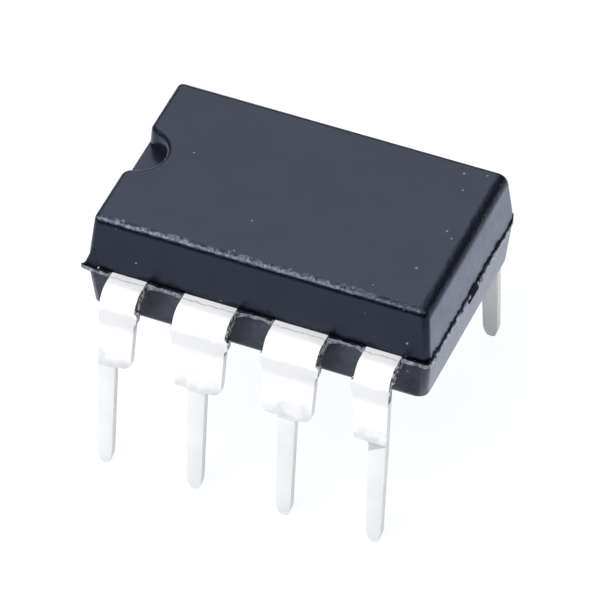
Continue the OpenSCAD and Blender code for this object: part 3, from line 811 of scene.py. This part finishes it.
# %% Lead: round its edges, cut it across and mark the sheared sides
def dress_blank(bm):
    rims = [e for e in bm.edges if len(e.link_faces) == 2 and 1.3 < e.calc_face_angle() < 1.8
            and abs(e.verts[0].co.z - e.verts[1].co.z) < 1e-4]
    bmesh.ops.bevel(bm, geom=rims, offset=PUNCH_R, offset_type="OFFSET", segments=2, profile=0.5,
                    affect="EDGES", material=-1)
    # Cuts across the strip: close together in the bend, wide apart elsewhere
    cuts = [FULL_END, 2.7, 2.98, 3.07, BEND_V - 0.02] + [BEND_V + ARC * i / 14 for i in range(15)]
    cuts += [BLADE + 0.15, BLADE + 0.7, BLADE + 1.3, BLADE + SEAT_T, BLADE + SEAT_T + 0.4]
    cuts += [BLADE + SEAT_T + 0.4 + 0.6 * i for i in range(1, 5)] + [BLADE + TIP_T - TIP_LEN]
    for s in cuts:
        bmesh.ops.bisect_plane(bm, geom=bm.verts[:] + bm.edges[:] + bm.faces[:], dist=1e-5,
                               plane_co=(0, s, 0), plane_no=(0, 1, 0))
    # Along the bend the punch leaves a ragged lip on the inner side of both cuts
    for v in bm.verts:
        if v.co.z < 0 and 3.05 < v.co.y < BLADE - 0.07:
            v.co.x += math.copysign(0.05 + 0.03 * noise.noise(v.co * 9), v.co.x)
    bm.normal_update()
    for face in bm.faces:
        face.material_index = 1 if abs(face.normal.z) < 0.4 else 0
    return bm


# %% Lead: bend it and put it in its row
def bend_blank(bm, lean, twist):
    turn = TURN - lean
    for v in bm.verts:
        along, height = v.co.y, v.co.z
        down = max(0.0, along - BLADE)
        tip = max(0.0, 1 - (BLADE + TIP_T - along) / TIP_LEN) if along > BLADE else 0
        height *= 1 - 0.25 * tip
        angle = min(max(along - BEND_V, 0), ARC) / ARC * turn
        radius = MID_R + height
        if along < BEND_V:
            v.co.y, v.co.z = along, BEND_Z + radius
        else:
            v.co.y = BEND_V + radius * math.sin(angle) + down * math.cos(angle)
            v.co.z = BEND_Z + radius * math.cos(angle) - down * math.sin(angle)
        v.co.x += twist * down
    return bm


# Small differences from lead to lead: stub, lean in degrees, sideways drift of the pin
VARIATIONS = {1: (0.3, 0.2, 0.003), 2: (1.0, 0.0, 0.0), 3: (0.6, -0.1, 0.002), 4: (-0.4, -0.1, 0.001),
              5: (0.5, 1.4, 0.0), 6: (-0.6, 0.25, -0.003), 7: (0.9, -0.2, 0.002), 8: (0.1, 0.1, 0.003)}
for number, (stub, lean, drift) in VARIATIONS.items():
    place = (number - 1) % 4
    lead = bend_blank(dress_blank(stamp_blank(place, stub)), math.radians(lean), drift)
    bmesh.ops.translate(lead, vec=((1.5 - place) * PITCH, 0, 0), verts=lead.verts)
    if number <= 4:
        bmesh.ops.rotate(lead, cent=(0, 0, 0), matrix=Matrix.Rotation(math.pi, 3, "Z"), verts=lead.verts)
    finish_piece(lead, f"tinned_lead_{number}", [tin, sheared], [f"lead_{number}"])

# %% [markdown]
# ## What the body hides
#
# Inside the epoxy lie the copper pad, the silicon die stuck to it, and the gold
# wires. Only the cut ends of the two tie bars come to the surface, one at each
# end of the body. Their shapes in the CAD are right, so they only get finishes.
# A tie bar's end is torn off after moulding: it is dull and painted dark, as
# the shade of the slot it sits in, with a bright burr at each upper corner.

# %% Hidden pieces: rolled copper alloy, with torn ends in painted shade
copper, tree, shader, in_mm = new_material("rolled_copper_alloy")
place = add(tree, "SeparateXYZ", {0: in_mm})
far_x = add(tree, "Math", {0: place.outputs["X"]}, operation="ABSOLUTE")
shaded_torn_end = add(tree, "Math", {0: far_x, 1: BODY_L / 2 - 0.15}, operation="GREATER_THAN")
far_y = add(tree, "Math", {0: place.outputs["Y"]}, operation="ABSOLUTE")
side = add(tree, "Math", {0: far_y, 1: 0.25}, operation="GREATER_THAN")
above = add(tree, "Math", {0: place.outputs["Z"], 1: PART_Z - 0.1}, operation="GREATER_THAN")
burr = add(tree, "Math", {0: side, 1: above}, operation="MULTIPLY")
lines = add(tree, "Mapping", {"Vector": in_mm, "Scale": (0.6, 18.0, 18.0)})
rolled = add(tree, "TexNoise", {"Vector": lines, "Scale": 1.0, "Detail": 3.0})
base = add(tree, "ValToRGB", {0: rolled}, stops=((0.3, "#b87b58"), (0.7, "#d99a72")))
# The torn end is painted dark as shade; its upper corners are bright burrs
end = add(tree, "Mix", {0: burr, 6: ink("#30323c"), 7: ink("#e6e6e6")}, data_type="RGBA")
colour = add(tree, "Mix", {0: shaded_torn_end, 6: base, 7: end}, data_type="RGBA")
bump = add(tree, "Bump", {"Strength": 0.4, "Distance": 0.00001, "Height": rolled})
rough = add(tree, "MapRange", {0: shaded_torn_end, 3: 0.45, 4: 1.0})
plug(tree, shader, {"Base Color": colour, "Roughness": rough, "Normal": bump, "Metallic": 1})
print(copper.name, len(tree.nodes), "nodes")


# %% Hidden pieces: finishes of one drifting colour
def simple_finish(name, low, high, size, roughness, metallic, ior=1.5):
    """A finish whose colour drifts between two values over a pattern of the given size in mm."""
    material, tree, shader, in_mm = new_material(name)
    drift = add(tree, "TexNoise", {"Vector": in_mm, "Scale": 1 / size, "Detail": 3.0})
    tint = add(tree, "ValToRGB", {0: drift}, stops=((0.3, low), (0.7, high)))
    bump = add(tree, "Bump", {"Strength": 0.2, "Distance": 0.000003, "Height": drift})
    plug(tree, shader, {"Base Color": tint, "Normal": bump, "Roughness": roughness, "Metallic": metallic})
    if not metallic:
        shader.inputs["IOR"].default_value = ior
    return material


finishes = {
    # Rolled strip: satin metal with lines along it
    "die_pad": copper,
    # Cured paste full of silver flakes: a dull grey with fine glitter
    "die_attach": simple_finish("silver_filled_adhesive", "#a7a8a5", "#c4c4c0", 0.04, 0.5, 0),
    # Polished silicon: dark blue-grey and glossy, with a high index
    "die": simple_finish("polished_silicon", "#4a4d5c", "#5c6070", 0.4, 0.12, 0, 3.4),
}
# Drawn gold: bright and warm
gold = simple_finish("drawn_gold_wire", "#e8bd55", "#f2cd6d", 0.02, 0.2, 1)
for number in range(1, 9):
    finishes[f"bond_wire_{number}"] = gold
for node, finish in finishes.items():
    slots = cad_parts[node].data.materials
    slots.clear()
    slots.append(finish)
print("finished", len(finishes), "hidden pieces")

# %% [markdown]
# ## Table, lamps and room
#
# The photograph is a product picture on a white table: white below, a large soft
# lamp above and behind, another high on the camera's side, and a dim room at eye
# height. The dim room matters, because it draws the dark lines along the round
# edges. It is a ring of dark card far from the chip, which the camera doesn't
# see. The white background comes from the white that the table and the world show
# to the camera, not from stronger lamps.

# %% Rays that show a thing
def seen_rays(tree):
    """Light Path, and 1 for the rays that show a thing: straight, in a gloss or through glass."""
    rays = add(tree, "LightPath")
    seen = rays.outputs["Is Camera Ray"]
    for kind in ("Is Glossy Ray", "Is Transmission Ray"):
        seen = add(tree, "Math", {0: seen, 1: rays.outputs[kind]}, operation="MAXIMUM")
    return rays, seen


# %% White table
paper_white = bpy.data.materials.new("white_table")
paper_white.use_nodes = True
tree = paper_white.node_tree
tree.nodes.remove(tree.nodes["Principled BSDF"])
rays, seen = seen_rays(tree)
# Most of what is seen is plain white, and the rest is lit paper with its shadows
share = add(tree, "Math", {0: seen, 1: 0.87}, operation="MULTIPLY")
paper = add(tree, "BsdfDiffuse", {"Color": ink("#f6f6f6")})
white = add(tree, "Emission", {"Color": ink("#f6f9ff"), "Strength": 1.14})
both = add(tree, "MixShader", {0: share, 1: paper, 2: white})
clear = add(tree, "BsdfTransparent")
side = add(tree, "NewGeometry")
# From below the camera looks through the table
below = add(tree, "Math", {0: side.outputs["Backfacing"], 1: rays.outputs["Is Camera Ray"]},
            operation="MULTIPLY")
mixed = add(tree, "MixShader", {0: below, 1: both, 2: clear})
plug(tree, tree.nodes["Material Output"], {"Surface": mixed})

TABLE_HALF = 1.5
table = bmesh.new()
bmesh.ops.create_grid(table, x_segments=1, y_segments=1, size=TABLE_HALF)
table_top = in_scene(table, "table")
table_top.data.materials.append(paper_white)
print("table", 2 * TABLE_HALF, "m wide")

# %% Dim room: a ring of dark card
ROOM_R, ROOM_H = 1.2, 1.1
room = bmesh.new()
bmesh.ops.create_cone(room, cap_ends=False, segments=64, radius1=ROOM_R, radius2=ROOM_R, depth=ROOM_H)
bmesh.ops.translate(room, vec=(0, 0, ROOM_H / 2), verts=room.verts)
card = bpy.data.materials.new("dark_card")
card.use_nodes = True
card_shader = card.node_tree.nodes["Principled BSDF"]
plug(card.node_tree, card_shader, {"Base Color": ink("#303238"), "Roughness": 0.9})
room_ring = in_scene(room, "dark_card")
room_ring.data.materials.append(card)
room_ring.visible_camera = False
print("ring of card", 2 * ROOM_R, "m across and", ROOM_H, "m high")

# %% World
world = bpy.data.worlds.new("studio")
scene.world = world
world.use_nodes = True
sky = world.node_tree
rays, seen = seen_rays(sky)
strength = add(sky, "MapRange", {0: seen, 3: 0.7, 4: 1.0})
plug(sky, sky.nodes["Background"], {"Color": ink("#ffffff"), "Strength": strength})


# %% Lamps
def soft_lamp(name, azimuth, elevation, distance, width, height, brightness):
    """A rectangular soft box seen from the chip in that direction, with its brightness as white = 1."""
    data = bpy.data.lights.new(name, "AREA")
    data.shape = "RECTANGLE"
    data.size, data.size_y = width, height
    data.energy = brightness * math.pi * width * height
    lamp = bpy.data.objects.new(name, data)
    scene.collection.objects.link(lamp)
    a, e = math.radians(azimuth), math.radians(elevation)
    away = Vector((math.sin(a) * math.cos(e), -math.cos(a) * math.cos(e), math.sin(e)))
    lamp.matrix_world = (
        Matrix.Translation(away * distance) @ away.to_track_quat("Z", "Y").to_matrix().to_4x4()
    )
    lamp.visible_camera = False


soft_lamp("lamp_high_behind", azimuth=204, elevation=50, distance=0.6, width=0.6, height=0.5, brightness=1.6)
soft_lamp("lamp_camera_side", azimuth=-22, elevation=50, distance=0.6, width=0.4, height=0.3, brightness=8.0)
